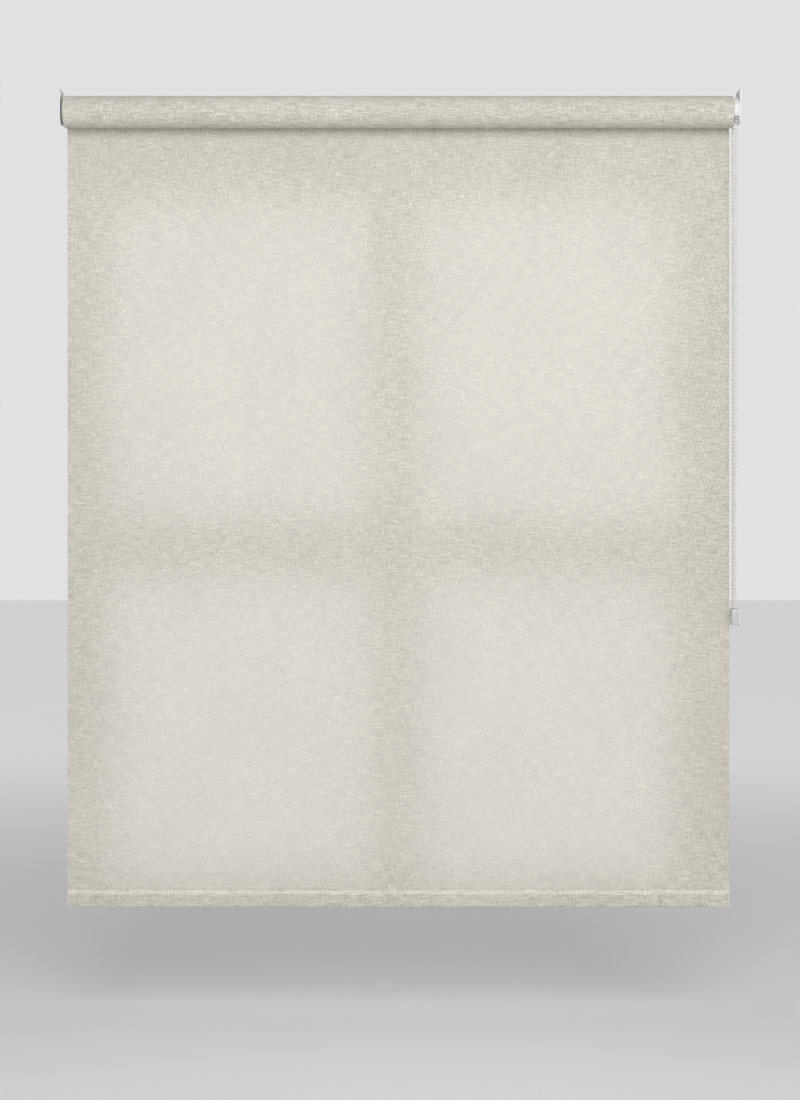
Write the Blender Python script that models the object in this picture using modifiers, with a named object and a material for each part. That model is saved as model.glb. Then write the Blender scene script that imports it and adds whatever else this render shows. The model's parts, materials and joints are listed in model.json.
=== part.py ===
"""Roller blind with a sprung idle end, a wrap-spring chain drive and a chain tensioner.

The frame: the origin lies on the roller's axis, midway between the outer faces of the two brackets.
+X runs along the roller to the chain end, +Y points to the window and +Z up.
The cloth leaves the roll at the back, on the window side, and hangs from there to the weighted hem.
All sizes are in metres; MM turns millimetres into metres.
"""

import math

import bmesh
import bpy

MM = 0.001

# ---------------------------------------------------------------- driving dimensions

GAP = 0.3 * MM                 # left between pieces that touch

# cloth
CLOTH_WIDTH = 1050 * MM
CLOTH_THICKNESS = 0.5 * MM
DROP = 1256 * MM               # roller axis to the bottom of the hem, blind down
WRAPS = 5                      # turns of cloth on the tube, blind down

# tube
TUBE_RADIUS = 22.5 * MM
TUBE_WALL = 1.5 * MM
TUBE_PAST_CLOTH = 0.5 * MM     # at each end
KEY_COUNT = 4                  # ribs inside the tube that turn the plugs
KEY_WIDTH = 2.4 * MM
KEY_HEIGHT = 1.6 * MM

# hem
SEAM_HEIGHT = 6.3 * MM         # welded double band above the pocket
POCKET_HEIGHT = 22 * MM
BAR_HEIGHT = 16 * MM
BAR_THICKNESS = 4 * MM
BAR_CORNER = 1.6 * MM
BAR_END_LENGTH = 12 * MM       # plastic end on each end of the bar
BAR_END_GROOVE = 0.6 * MM      # deep, along the inner half of one side

# chain
BEAD_PITCH = 6 * MM
BEAD_RADIUS = 2.25 * MM
THREAD_RADIUS = 0.6 * MM

# chain wheel and clutch
WHEEL_POCKETS = 16
WHEEL_FLANGE = 0.8 * MM
WHEEL_FLANGE_HEIGHT = 2.5 * MM
WHEEL_CLEARANCE = 0.45 * MM    # between the wheel and the end of the tube
CORE_RADIUS = 8 * MM
CORE_BORE = 2.3 * MM           # radius
SPRING_WIRE = 1.2 * MM         # wire diameter of the wrap springs
SPRING_PITCH = 1.6 * MM
SPRING_TURNS = 3
SPRING_SPACE = 2.4 * MM        # between the two springs
SPRING_MARGIN = 2.6 * MM       # at each end of the pair of springs
SPRING_ROOM = 1.3 * MM         # radial room around the springs
SLEEVE_WALL = 2.2 * MM
SLOT_HALF_ANGLE = math.radians(34)
LUG_HALF_ANGLE = math.radians(22)
PLUG_END_WALL = 2 * MM
PLUG_BACK = 9 * MM
WASHER_RADIUS = 11.5 * MM
WASHER_THICKNESS = 1.5 * MM
SCREW_HEAD_RADIUS = 4 * MM
SCREW_HEAD_TIP = 3.4 * MM      # radius of the head's outer face
SCREW_HEAD_HEIGHT = 2.4 * MM
SCREW_CROSS_LENGTH = 4.8 * MM
SCREW_CROSS_WIDTH = 1 * MM
SCREW_CROSS_DEPTH = 1.2 * MM

# chain end: base and guard
BASE_THICKNESS = 1.4 * MM
BASE_RADIUS = 15 * MM
GUARD_WALL = 1.4 * MM
GUARD_ROOM = 2.5 * MM          # outside the beads
SPIGOT_SIDE = 9 * MM
SPIGOT_CORNER = 1 * MM

# brackets
BRACKET_THICKNESS = 1.8 * MM
BRACKET_DEPTH = 40 * MM
BRACKET_ABOVE_AXIS = 33 * MM
BRACKET_BELOW_AXIS = 20 * MM
BRACKET_TOP_CORNER = 4 * MM
BRACKET_BOTTOM_CORNER = 14 * MM
SLOT_WIDTH = 5 * MM
SLOT_LENGTH = 8.5 * MM
SLOT_ABOVE_AXIS = 27 * MM
SLOT_SPREAD = 11 * MM          # each side of the axis

# idle end
PLUG_FLANGE = 1.2 * MM
PLUG_FLANGE_INSET = 0.2 * MM   # under the tube's outer radius
PLUG_LENGTH = 40 * MM
PLUG_WALL = 3.4 * MM
PLUG_WEB = 3 * MM
PIN_RADIUS = 4 * MM
PIN_COLLAR_RADIUS = 6.5 * MM
PIN_COLLAR_LENGTH = 2 * MM
PIN_ROOM = 0.5 * MM            # around the collar
PIN_TAIL_RADIUS = 3 * MM
PIN_TAIL_LENGTH = 8 * MM
PIN_CHAMFER = 0.8 * MM
PIN_GUIDE = 10 * MM            # length of the pin's bore in the plug
HUB_WALL = 2.2 * MM
HUB_LENGTH = 36 * MM
IDLE_WIRE = 1 * MM
IDLE_TURNS = 7
RETAINER_STEM = 5 * MM
RETAINER_FLANGE = 1.2 * MM
BUSH_WALL = 1.9 * MM
BUSH_FLANGE = 1.2 * MM
BUSH_FLANGE_RADIUS = 8.5 * MM
RUNNING_GAP = 1.1 * MM         # plug flange to bush

# chain tensioner
TENSIONER_DROP = 793.7 * MM    # roller axis to the pulley's axis
TENSIONER_BACK = 8 * MM        # the pulley stands this far behind the roller's axis
PULLEY_PITCH_RADIUS = 9 * MM
PULLEY_FLANGE = 0.6 * MM
PULLEY_FLANGE_HEIGHT = 0.9 * MM
PULLEY_PIN_RADIUS = 1.6 * MM
COVER_WALL = 1 * MM
COVER_ROOM = 1 * MM            # around the beads
COVER_HEIGHT = 25.2 * MM
COVER_CORNER = 2.4 * MM
TENSIONER_BASE = 1.6 * MM
BOSS_RADIUS = 3.2 * MM
TENSIONER_HOLE = 2.1 * MM      # radius

ROUND = 40                     # sides of a large round piece
SMALL_ROUND = 20               # sides of a small one

# ---------------------------------------------------------------- sizes that follow

ROLL_RADIUS = TUBE_RADIUS + WRAPS * CLOTH_THICKNESS
TUBE_BORE = TUBE_RADIUS - TUBE_WALL
PLUG_RADIUS = TUBE_BORE - GAP
WHEEL_PITCH_RADIUS = BEAD_PITCH / 2 / math.sin(math.pi / WHEEL_POCKETS)
WHEEL_HALF_WIDTH = BEAD_RADIUS + GAP + WHEEL_FLANGE
WHEEL_FLANGE_RADIUS = WHEEL_PITCH_RADIUS + WHEEL_FLANGE_HEIGHT
POCKET_RADIUS = BEAD_RADIUS + GAP

# distances outwards from the cloth's edge at the chain end
WHEEL_INNER = TUBE_PAST_CLOTH + WHEEL_CLEARANCE
CHAIN_PAST_CLOTH = WHEEL_INNER + WHEEL_HALF_WIDTH
WHEEL_OUTER = CHAIN_PAST_CLOTH + WHEEL_HALF_WIDTH
BASE_INNER = WHEEL_OUTER + GAP
BASE_OUTER = BASE_INNER + BASE_THICKNESS
CHAIN_WALL = BASE_OUTER + GAP + BRACKET_THICKNESS

# the clutch, measured the same way, inside the tube
SPRING_RADIUS = CORE_RADIUS + GAP + SPRING_WIRE / 2
SLEEVE_BORE = SPRING_RADIUS + SPRING_WIRE / 2 + SPRING_ROOM
SLEEVE_RADIUS = SLEEVE_BORE + SLEEVE_WALL
TANG_ANGLE = (SLOT_HALF_ANGLE + LUG_HALF_ANGLE) / 2
SPRING_LENGTH = (SPRING_TURNS - TANG_ANGLE / math.pi) * SPRING_PITCH
OUTER_SPRING = -SPRING_MARGIN
INNER_SPRING = OUTER_SPRING - SPRING_LENGTH - SPRING_SPACE
SLEEVE_END = INNER_SPRING - SPRING_LENGTH - SPRING_MARGIN
DRIVE_PLUG_WALL = SLEEVE_END - GAP
CORE_END = DRIVE_PLUG_WALL - PLUG_END_WALL - GAP
WASHER_START = CORE_END - GAP
DRIVE_PLUG_END = DRIVE_PLUG_WALL - PLUG_END_WALL - PLUG_BACK

# distances outwards from the cloth's edge at the idle end
FLANGE_INNER = TUBE_PAST_CLOTH + GAP
FLANGE_OUTER = FLANGE_INNER + PLUG_FLANGE
BUSH_INNER = FLANGE_OUTER + RUNNING_GAP
IDLE_PLATE = BUSH_INNER + BUSH_FLANGE + GAP
IDLE_WALL = IDLE_PLATE + BRACKET_THICKNESS

# along X
OVERALL_WIDTH = CLOTH_WIDTH + CHAIN_WALL + IDLE_WALL
RIGHT_EDGE = OVERALL_WIDTH / 2 - CHAIN_WALL
LEFT_EDGE = IDLE_WALL - OVERALL_WIDTH / 2
CLOTH_MIDDLE = (RIGHT_EDGE + LEFT_EDGE) / 2
CHAIN_X = RIGHT_EDGE + CHAIN_PAST_CLOTH

# the hanging cloth
SHEET_Y = ROLL_RADIUS + GAP + CLOTH_THICKNESS / 2
HEM_HEIGHT = SEAM_HEIGHT + POCKET_HEIGHT
POCKET_HALF = BAR_THICKNESS / 2 + GAP + CLOTH_THICKNESS

COLLECTION = bpy.data.collections.new("roller_blind")
CUTTERS = bpy.data.collections.new("cutters")

CLOTH = ((0.62, 0.60, 0.52), 0.92, 0.0)
WHITE_PLASTIC = ((0.80, 0.80, 0.77), 0.42, 0.0)
WHITE_STEEL = ((0.78, 0.78, 0.76), 0.38, 0.0)
ALUMINIUM = ((0.70, 0.71, 0.72), 0.34, 1.0)
SPRING_STEEL = ((0.44, 0.44, 0.45), 0.30, 1.0)
GREY_PLASTIC = ((0.36, 0.37, 0.38), 0.48, 0.0)
CLEAR_PLASTIC = ((0.82, 0.84, 0.83), 0.18, 0.0)


# ---------------------------------------------------------------- tools

def empty_the_scene():
    for old in list(bpy.data.objects):
        bpy.data.objects.remove(old, do_unlink=True)
    bpy.context.scene.collection.children.link(COLLECTION)
    bpy.context.scene.collection.children.link(CUTTERS)


def finish(piece, look):
    """Give a piece its own material from (colour, roughness, metallic)."""
    colour, roughness, metallic = look
    material = bpy.data.materials.new(piece.name)
    material.use_nodes = True
    shader = material.node_tree.nodes["Principled BSDF"]
    shader.inputs["Base Color"].default_value = (*colour, 1)
    shader.inputs["Roughness"].default_value = roughness
    shader.inputs["Metallic"].default_value = metallic
    piece.data.materials.append(material)


def put(name, data, look=None, spot=(0, 0, 0), turn=(0, 0, 0)):
    """Put a mesh or curve in the scene; without a look it is a cutter or a guide."""
    piece = bpy.data.objects.new(name, data)
    piece.location = spot
    piece.rotation_euler = turn
    if look is None:
        CUTTERS.objects.link(piece)
        piece.hide_render = True
        piece.display_type = "WIRE"
    else:
        COLLECTION.objects.link(piece)
        finish(piece, look)
    return piece


def combine(piece, tool, operation="DIFFERENCE"):
    step = piece.modifiers.new(operation.lower(), "BOOLEAN")
    step.operation = operation
    step.solver = "EXACT"
    step.object = tool


ALONG_X = (0, math.pi / 2, 0)              # a piece's own +Z comes to lie along +X
FACING_X = (math.pi / 2, 0, math.pi / 2)   # a drawing's X, Y come to lie along +Y, +Z


def turned(name, profile, look, side=1, spot=(0, 0, 0), sides=ROUND):
    """Turn a profile of (radius, distance) points about the X axis through spot.

    Distances grow outwards: to +X for side 1, to -X for side -1. A profile whose ends are both on the
    axis is open; any other is closed. It is drawn down its outer side, from far to near.
    """
    points = [(radius, side * far) for radius, far in profile]
    if side < 0:
        points.reverse()
    mesh = bpy.data.meshes.new(name)
    count = len(points)
    edges = [(i, i + 1) for i in range(count - 1)]
    if points[0][0] > 0:
        edges.append((count - 1, 0))
    mesh.from_pydata([(radius, 0, far) for radius, far in points], edges, [])
    piece = put(name, mesh, look, spot, ALONG_X)
    screw = piece.modifiers.new("turn", "SCREW")
    screw.axis = "Z"
    screw.angle = math.tau
    screw.steps = screw.render_steps = sides
    screw.use_merge_vertices = True
    screw.merge_threshold = 0.00001
    screw.use_smooth_shade = True
    return piece


def arc(centre, radius, start, end, steps):
    """Points of an arc in a drawing, from the angle start to the angle end, both in degrees."""
    turns = [math.radians(start + (end - start) * i / steps) for i in range(steps + 1)]
    return [(centre[0] + radius * math.cos(t), centre[1] + radius * math.sin(t)) for t in turns]


def circle(centre, radius, steps=SMALL_ROUND):
    return arc(centre, radius, 0, 360, steps)[:-1]


def rectangle(left, right, bottom, top, lower_corner=0.0, upper_corner=0.0, steps=5):
    """A rectangle drawn anticlockwise, with its own corner radius below and above."""
    corners = (
        (right, bottom, -1, 1, -90, lower_corner),
        (right, top, -1, -1, 0, upper_corner),
        (left, top, 1, -1, 90, upper_corner),
        (left, bottom, 1, 1, 180, lower_corner),
    )
    points = []
    for across, up, inwards, upwards, start, radius in corners:
        if radius:
            centre = (across + inwards * radius, up + upwards * radius)
            points += arc(centre, radius, start, start + 90, steps)
        else:
            points.append((across, up))
    return points


def extruded(name, loops, start, end, look=None, spot=(0, 0, 0)):
    """Extrude a drawing in the Y-Z plane, an outline and its holes, from x = start to x = end."""
    drawing = bpy.data.curves.new(name, "CURVE")
    drawing.dimensions = "2D"
    drawing.fill_mode = "BOTH"
    drawing.extrude = abs(end - start) / 2
    for loop in loops:
        spline = drawing.splines.new("POLY")
        spline.points.add(len(loop) - 1)
        for point, (across, up) in zip(spline.points, loop):
            point.co = (across, up, 0, 1)
        spline.use_cyclic_u = True
    guide = put(name + "_drawing", drawing)
    mesh = welded(guide)
    mesh.name = name
    for corner in mesh.vertices:
        corner.co.z += (start + end) / 2 - spot[0]
    return put(name, mesh, look, spot, FACING_X)


def welded(guide):
    """The closed mesh of a curve object, which is removed."""
    bpy.context.view_layer.update()
    graph = bpy.context.evaluated_depsgraph_get()
    mesh = bpy.data.meshes.new_from_object(guide.evaluated_get(graph))
    build = bmesh.new()
    build.from_mesh(mesh)
    bmesh.ops.remove_doubles(build, verts=build.verts, dist=0.000005)
    build.to_mesh(mesh)
    build.free()
    bpy.data.objects.remove(guide, do_unlink=True)
    return mesh


def block(name, low, high, look=None):
    """A plain box between two opposite corners."""
    build = bmesh.new()
    bmesh.ops.create_cube(build, size=1)
    size = [b - a for a, b in zip(low, high)]
    bmesh.ops.scale(build, vec=size, verts=build.verts)
    mesh = bpy.data.meshes.new(name)
    build.to_mesh(mesh)
    build.free()
    return put(name, mesh, look, [(a + b) / 2 for a, b in zip(low, high)])


def balls(name, centres, radius, look=None):
    """Several balls in one mesh."""
    build = bmesh.new()
    for centre in centres:
        ball = bmesh.ops.create_icosphere(build, subdivisions=2, radius=radius)
        bmesh.ops.translate(build, vec=centre, verts=ball["verts"])
    mesh = bpy.data.meshes.new(name)
    build.to_mesh(mesh)
    build.free()
    return put(name, mesh, look)


def wire(name, points, radius, look=None, spot=(0, 0, 0)):
    """A round wire, thread or tube along points given in world coordinates."""
    path = bpy.data.curves.new(name, "CURVE")
    path.dimensions = "3D"
    path.bevel_depth = radius
    path.bevel_resolution = 2
    path.use_fill_caps = True
    spline = path.splines.new("POLY")
    spline.points.add(len(points) - 1)
    for point, place in zip(spline.points, points):
        point.co = (*[a - b for a, b in zip(place, spot)], 1)
    return put(name, path, look, spot)


def around_x(x, radius, angle):
    """A point at a radius from the roller's axis; the angle runs from +Z towards +Y."""
    return (x, radius * math.sin(angle), radius * math.cos(angle))


# ---------------------------------------------------------------- tube and cloth

def key_angles():
    return [math.tau * k / KEY_COUNT for k in range(KEY_COUNT)]


def tube_bore_outline():
    """The tube's inner outline: a circle with a rib standing in from it at each key angle."""
    half = KEY_WIDTH / 2
    tip = TUBE_BORE - KEY_HEIGHT
    steps = ROUND // KEY_COUNT
    foot = math.asin(half / TUBE_BORE)
    reach = math.tau / KEY_COUNT - 2 * foot
    points = []
    for angle in key_angles():
        along = (math.cos(angle), math.sin(angle))
        for side in (-1, 1):
            points.append((along[0] * tip - along[1] * side * half, along[1] * tip + along[0] * side * half))
        start = math.degrees(angle + foot)
        points += arc((0, 0), TUBE_BORE, start, start + math.degrees(reach), steps)
    return points


def key_slots(name, near, far, edge, side):
    """Cutters for the slots that let a plug pass over the tube's ribs."""
    build = bmesh.new()
    inner = TUBE_BORE - KEY_HEIGHT - GAP
    outer = TUBE_RADIUS
    for angle in key_angles():
        cube = bmesh.ops.create_cube(build, size=1)["verts"]
        bmesh.ops.scale(build, vec=(abs(far - near), KEY_WIDTH + 2 * GAP, outer - inner), verts=cube)
        bmesh.ops.translate(build, vec=(0, 0, (outer + inner) / 2), verts=cube)
        spin = -angle
        for corner in cube:
            y, z = corner.co.y, corner.co.z
            corner.co.y = y * math.cos(spin) - z * math.sin(spin)
            corner.co.z = y * math.sin(spin) + z * math.cos(spin)
        bmesh.ops.translate(build, vec=(edge + side * (near + far) / 2, 0, 0), verts=cube)
    mesh = bpy.data.meshes.new(name)
    build.to_mesh(mesh)
    build.free()
    return put(name, mesh)


def make_tube_and_cloth():
    start = LEFT_EDGE - TUBE_PAST_CLOTH
    end = RIGHT_EDGE + TUBE_PAST_CLOTH
    outline = circle((0, 0), TUBE_RADIUS, ROUND)
    extruded("roller_tube", [outline, tube_bore_outline()], start, end, ALUMINIUM)
    turned(
        "fabric_roll",
        [(ROLL_RADIUS, RIGHT_EDGE), (ROLL_RADIUS, LEFT_EDGE),
         (TUBE_RADIUS + GAP, LEFT_EDGE), (TUBE_RADIUS + GAP, RIGHT_EDGE)],
        CLOTH, sides=ROUND + 8,
    )
    half = CLOTH_THICKNESS / 2
    block(
        "fabric_sheet",
        (LEFT_EDGE, SHEET_Y - half, -DROP + HEM_HEIGHT + GAP),
        (RIGHT_EDGE, SHEET_Y + half, 0),
        CLOTH,
    )


# ---------------------------------------------------------------- hem

def pocket_outline(half, foot, shoulder, tip):
    """A pocket in section, from its round foot up to the line where its two sides meet."""
    right = arc((SHEET_Y, foot + half), half, 180, 360, 10)
    return right + [(SHEET_Y + half, shoulder), tip[0], tip[1], (SHEET_Y - half, shoulder)]


def make_hem():
    foot = -DROP
    shoulder = foot + CLOTH_THICKNESS + GAP + BAR_HEIGHT
    weld = foot + POCKET_HEIGHT
    top = foot + HEM_HEIGHT
    double = CLOTH_THICKNESS
    outer = pocket_outline(
        POCKET_HALF, foot, shoulder, ((SHEET_Y + double, weld), (SHEET_Y + double, top))
    )
    outer[-1:-1] = [(SHEET_Y - double, top), (SHEET_Y - double, weld)]
    inner_half = POCKET_HALF - CLOTH_THICKNESS
    peak = weld - 2 * CLOTH_THICKNESS
    inner = pocket_outline(
        inner_half, foot + CLOTH_THICKNESS, shoulder,
        ((SHEET_Y + GAP, peak), (SHEET_Y - GAP, peak)),
    )
    hang = (CLOTH_MIDDLE, SHEET_Y, -DROP)
    drawing = [shifted(outer, hang), shifted(inner, hang)]
    extruded("hem_pocket", drawing, LEFT_EDGE, RIGHT_EDGE, CLOTH, hang)

    low = foot + CLOTH_THICKNESS + GAP
    half = BAR_THICKNESS / 2
    bar = rectangle(SHEET_Y - half, SHEET_Y + half, low, low + BAR_HEIGHT, BAR_CORNER, BAR_CORNER, 3)
    inset = BAR_END_LENGTH + GAP
    extruded("hem_bar", [shifted(bar, hang)], LEFT_EDGE + inset, RIGHT_EDGE - inset, ALUMINIUM, hang)
    for name, edge, side in (("bar_end_left", LEFT_EDGE, -1), ("bar_end_right", RIGHT_EDGE, 1)):
        near = edge - side * BAR_END_LENGTH
        end = extruded(name, [shifted(bar, hang)], near, edge - side * GAP, WHITE_PLASTIC, hang)
        quarter = BAR_HEIGHT / 4
        waist = rectangle(
            SHEET_Y - half - GAP, SHEET_Y - half + BAR_END_GROOVE, low + quarter, low + 3 * quarter
        )
        groove = extruded(name + "_groove", [waist], near - side * GAP, near + side * BAR_END_LENGTH / 2)
        combine(end, groove)


def shifted(points, hang):
    """A drawing's points measured from the place where its piece hangs."""
    return [(across - hang[1], up - hang[2]) for across, up in points]


# ---------------------------------------------------------------- brackets

def bracket_outline():
    half = BRACKET_DEPTH / 2
    return rectangle(
        -half, half, -BRACKET_BELOW_AXIS, BRACKET_ABOVE_AXIS, BRACKET_BOTTOM_CORNER, BRACKET_TOP_CORNER
    )


def slot_outline(middle):
    """A slot with round ends for a fixing screw, standing upright about its middle."""
    half = SLOT_LENGTH / 2
    radius = SLOT_WIDTH / 2
    across = (middle - radius, middle + radius)
    return rectangle(*across, SLOT_ABOVE_AXIS - half, SLOT_ABOVE_AXIS + half, radius, radius, 4)


def make_brackets():
    slots = [slot_outline(-SLOT_SPREAD), slot_outline(SLOT_SPREAD)]
    square = SPIGOT_SIDE / 2 + GAP
    near = RIGHT_EDGE + CHAIN_WALL - BRACKET_THICKNESS
    holes = [rectangle(-square, square, -square, square)] + slots
    extruded("bracket_right", [bracket_outline()] + holes, near, near + BRACKET_THICKNESS, WHITE_STEEL)

    near = LEFT_EDGE - IDLE_PLATE
    holes = [circle((0, 0), PIN_RADIUS + GAP + BUSH_WALL + GAP)] + slots
    extruded("bracket_left", [bracket_outline()] + holes, near - BRACKET_THICKNESS, near, WHITE_STEEL)


# ---------------------------------------------------------------- idle end

def make_idle_end():
    spot = (LEFT_EDGE, 0, 0)
    pin_bore = PIN_RADIUS + GAP
    chamber = PIN_COLLAR_RADIUS + PIN_ROOM
    hub = chamber + HUB_WALL
    guide_end = FLANGE_OUTER - PIN_GUIDE
    shell_bore = PLUG_RADIUS - PLUG_WALL
    web = FLANGE_INNER - PLUG_WEB
    flange = TUBE_RADIUS - PLUG_FLANGE_INSET
    plug = turned(
        "idle_plug",
        [(flange, FLANGE_OUTER), (flange, FLANGE_INNER), (PLUG_RADIUS, FLANGE_INNER),
         (PLUG_RADIUS, -PLUG_LENGTH), (shell_bore, -PLUG_LENGTH), (shell_bore, web), (hub, web),
         (hub, -HUB_LENGTH), (chamber, -HUB_LENGTH), (chamber, guide_end), (pin_bore, guide_end),
         (pin_bore, FLANGE_OUTER)],
        GREY_PLASTIC, -1, spot,
    )
    slots = key_slots("idle_plug_slots", FLANGE_INNER - GAP / 3, -PLUG_LENGTH - GAP, LEFT_EDGE, -1)
    combine(plug, slots)

    tip = IDLE_WALL - GAP
    collar = guide_end - GAP
    tail = collar - PIN_COLLAR_LENGTH
    turned(
        "idle_pin",
        [(0, tip), (PIN_RADIUS - PIN_CHAMFER, tip), (PIN_RADIUS, tip - PIN_CHAMFER), (PIN_RADIUS, collar),
         (PIN_COLLAR_RADIUS, collar), (PIN_COLLAR_RADIUS, tail), (PIN_TAIL_RADIUS, tail),
         (PIN_TAIL_RADIUS, tail - PIN_TAIL_LENGTH), (0, tail - PIN_TAIL_LENGTH)],
        SPRING_STEEL, -1, spot, SMALL_ROUND,
    )

    seat = -HUB_LENGTH + RETAINER_STEM
    turned(
        "spring_retainer",
        [(chamber - GAP, seat), (chamber - GAP, -HUB_LENGTH - GAP), (hub, -HUB_LENGTH - GAP),
         (hub, -HUB_LENGTH - GAP - RETAINER_FLANGE), (PIN_TAIL_RADIUS, -HUB_LENGTH - GAP - RETAINER_FLANGE),
         (PIN_TAIL_RADIUS, seat)],
        GREY_PLASTIC, -1, spot, SMALL_ROUND,
    )

    radius = chamber - GAP - IDLE_WIRE
    first = LEFT_EDGE - tail + GAP + IDLE_WIRE / 2
    last = LEFT_EDGE - seat - GAP - IDLE_WIRE / 2
    wire("idle_spring", coil(radius, first, last, 0, IDLE_TURNS, 12), IDLE_WIRE / 2, SPRING_STEEL, spot)

    bore = PIN_RADIUS + GAP
    outer = bore + BUSH_WALL
    shoulder = IDLE_PLATE - GAP
    turned(
        "idle_bush",
        [(outer, IDLE_WALL - GAP), (outer, shoulder), (BUSH_FLANGE_RADIUS, shoulder),
         (BUSH_FLANGE_RADIUS, BUSH_INNER), (bore, BUSH_INNER), (bore, IDLE_WALL - GAP)],
        WHITE_PLASTIC, -1, spot, SMALL_ROUND,
    )


def coil(radius, first, last, start, turns, steps_per_turn):
    """Points of a coil about the roller's axis, from x = first to x = last."""
    count = round(turns * steps_per_turn)
    points = []
    for i in range(count + 1):
        share = i / count
        points.append(around_x(first + (last - first) * share, radius, start + share * turns * math.tau))
    return points


# ---------------------------------------------------------------- chain end

def make_drive():
    spot = (RIGHT_EDGE, 0, 0)
    make_chain_wheel(spot)
    make_clutch(spot)

    spigot_end = CHAIN_WALL - GAP
    core = turned(
        "control_core",
        [(BASE_RADIUS, BASE_OUTER), (BASE_RADIUS, BASE_INNER), (CORE_RADIUS, BASE_INNER),
         (CORE_RADIUS, CORE_END), (CORE_BORE, CORE_END), (CORE_BORE, BASE_OUTER)],
        GREY_PLASTIC, 1, spot,
    )
    half = SPIGOT_SIDE / 2
    spigot = extruded(
        "core_spigot",
        [rectangle(-half, half, -half, half, SPIGOT_CORNER, SPIGOT_CORNER, 2), circle((0, 0), CORE_BORE)],
        RIGHT_EDGE + BASE_OUTER - BASE_THICKNESS / 2, RIGHT_EDGE + spigot_end,
    )
    combine(core, spigot, "UNION")

    rim = WHEEL_PITCH_RADIUS + BEAD_RADIUS + GUARD_ROOM
    hub = BASE_RADIUS + GAP
    guard = turned(
        "chain_guard",
        [(rim + GUARD_WALL, BASE_OUTER), (rim + GUARD_WALL, WHEEL_INNER), (rim, WHEEL_INNER),
         (rim, BASE_INNER), (hub, BASE_INNER), (hub, BASE_OUTER)],
        WHITE_PLASTIC, 1, spot,
    )
    reach = WHEEL_PITCH_RADIUS + BEAD_RADIUS + GUARD_ROOM / 2
    mouth = block(
        "guard_mouth",
        (RIGHT_EDGE, -reach, -rim - 2 * GUARD_WALL),
        (RIGHT_EDGE + BASE_INNER - GAP, reach, -GUARD_WALL),
    )
    combine(guard, mouth)


def make_chain_wheel(spot):
    thread_half = THREAD_RADIUS + GAP
    groove = WHEEL_PITCH_RADIUS * math.cos(math.pi / WHEEL_POCKETS) - THREAD_RADIUS - GAP
    bead_half = BEAD_RADIUS + GAP
    middle = CHAIN_PAST_CLOTH
    bore = CORE_RADIUS + GAP
    wheel = turned(
        "chain_wheel",
        [(WHEEL_FLANGE_RADIUS, WHEEL_OUTER), (WHEEL_FLANGE_RADIUS, middle + bead_half),
         (WHEEL_PITCH_RADIUS, middle + bead_half), (WHEEL_PITCH_RADIUS, middle + thread_half),
         (groove, middle + thread_half), (groove, middle - thread_half),
         (WHEEL_PITCH_RADIUS, middle - thread_half), (WHEEL_PITCH_RADIUS, middle - bead_half),
         (WHEEL_FLANGE_RADIUS, middle - bead_half), (WHEEL_FLANGE_RADIUS, WHEEL_INNER),
         (SLEEVE_RADIUS, WHEEL_INNER), (SLEEVE_RADIUS, SLEEVE_END), (SLEEVE_BORE, SLEEVE_END),
         (SLEEVE_BORE, -GAP), (bore, -GAP), (bore, WHEEL_OUTER)],
        WHITE_PLASTIC, 1, spot,
    )
    pockets = [bead_place(k) for k in range(WHEEL_POCKETS)]
    combine(wheel, balls("wheel_pockets", pockets, POCKET_RADIUS))
    cut = sector("sleeve_slot", SLEEVE_BORE - GAP, SLEEVE_RADIUS + GAP, SLOT_HALF_ANGLE,
                 SLEEVE_END - GAP, -2 * GAP)
    combine(wheel, cut)


def bead_place(step):
    """The middle of the bead that stands step pitches round the wheel from the front, over the top."""
    angle = -math.pi / 2 + math.tau * step / WHEEL_POCKETS
    return around_x(CHAIN_X, WHEEL_PITCH_RADIUS, angle)


def sector(name, inner, outer, half_angle, near, far, look=None):
    """Part of a ring, centred on the top, between two radii."""
    spread = math.degrees(half_angle)
    outline = arc((0, 0), outer, 90 - spread, 90 + spread, 6)
    outline += arc((0, 0), inner, 90 + spread, 90 - spread, 6)
    return extruded(name, [outline], RIGHT_EDGE + near, RIGHT_EDGE + far, look)


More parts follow.
